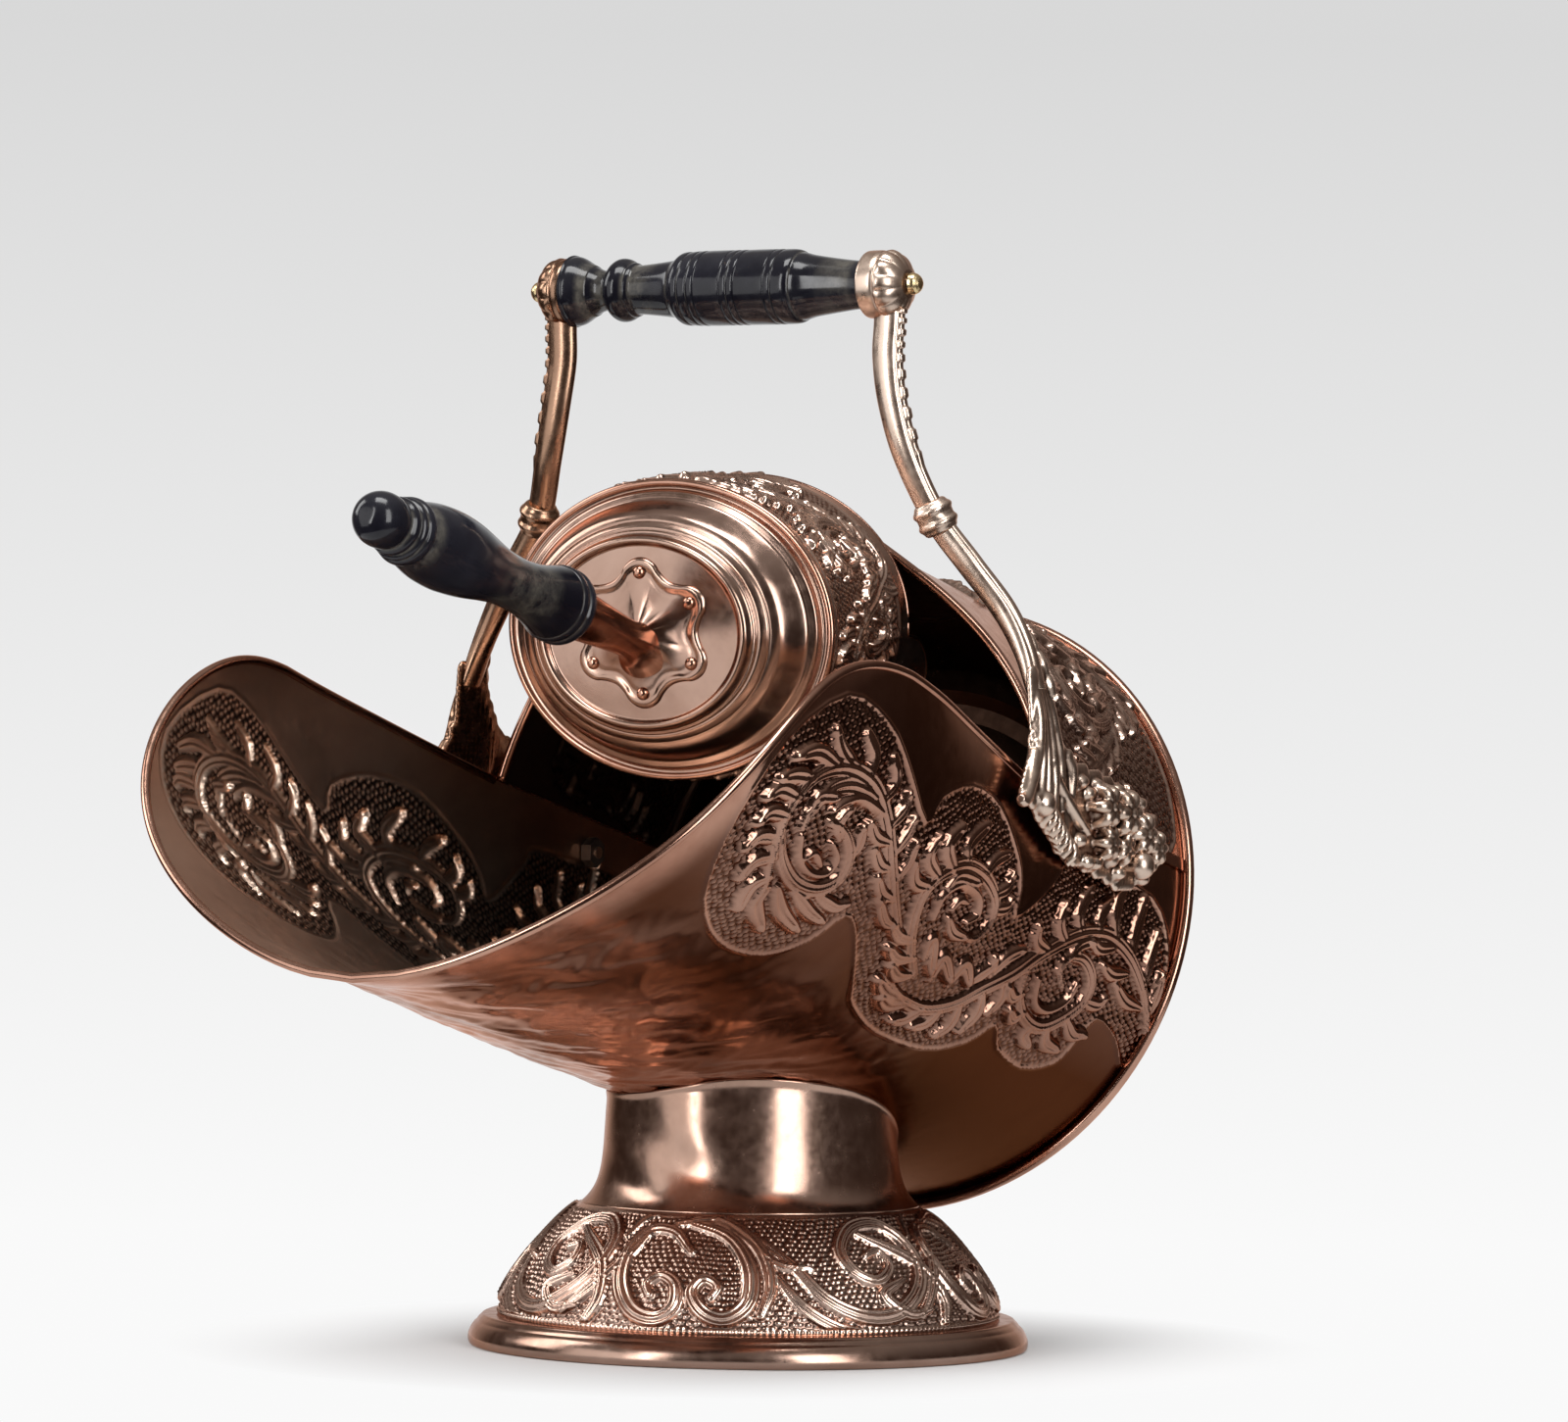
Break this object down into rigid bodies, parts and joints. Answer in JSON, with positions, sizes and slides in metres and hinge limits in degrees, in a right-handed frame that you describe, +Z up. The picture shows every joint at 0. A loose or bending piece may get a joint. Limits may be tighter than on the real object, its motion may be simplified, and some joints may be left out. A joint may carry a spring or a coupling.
{
  "type": "coal scuttle",
  "caption": "Helmet-shaped copper coal scuttle on a round embossed foot, with a swinging bail handle, a turned grip and a lift-off scoop hung on its hood.",
  "frame": {"origin": "centre of the foot on the floor", "axes": "+Z up, -Y towards the pouring lip at the front, +X towards the right-hand side"},
  "size_m": [0.3412, 0.5371, 0.5178],
  "materials": {
    "copper": "polished",
    "dark_copper": "dull",
    "bronze": "polished",
    "yellow_brass": "polished",
    "ebonised_wood": "gloss",
    "steel": "satin"
  },
  "bodies": {
    "scuttle": {"foot_rim": "copper", "foot_skirt": "copper", "foot_neck": "copper", "bucket": "copper", "lip_wire": "copper", "hood": "copper", "hood_wire": "copper", "back_plate": "dark_copper", "back_rim": "copper", "seam_strap_left": "copper", "seam_strap_right": "copper", "pivot_bolt_left": "bronze", "pivot_bolt_right": "bronze", "pivot_nut_left": "steel", "pivot_nut_right": "steel"},
    "bail": {"bail_arm_left": "bronze", "bail_arm_right": "bronze", "bail_rod": "steel", "bail_nut_left": "yellow_brass", "bail_nut_right": "yellow_brass"},
    "grip": {"bail_grip": "ebonised_wood"},
    "scoop": {"scoop_body": "copper", "scoop_back": "copper", "scoop_back_wire": "copper", "scoop_mouth_wire": "copper", "handle_plate": "copper", "plate_rivets": "copper", "handle_socket": "copper", "scoop_handle": "ebonised_wood", "handle_tang": "steel"}
  },
  "joints": [
    {"name": "bail_hinge", "type": "hinge", "parent": "scuttle", "child": "bail", "pos_m": [0, 0.085, 0.2305], "axis": [-1, 0, 0], "range_deg": [0, 75]},
    {"name": "grip_turn", "type": "hinge", "parent": "bail", "child": "grip", "pos_m": [0, -0.036, 0.5], "axis": [1, 0, 0], "continuous": true},
    {"name": "scoop_lift", "type": "slide", "parent": "scuttle", "child": "scoop", "axis": [0, -0.9744, 0.225], "range_m": [0, 0.25]}
  ]
}
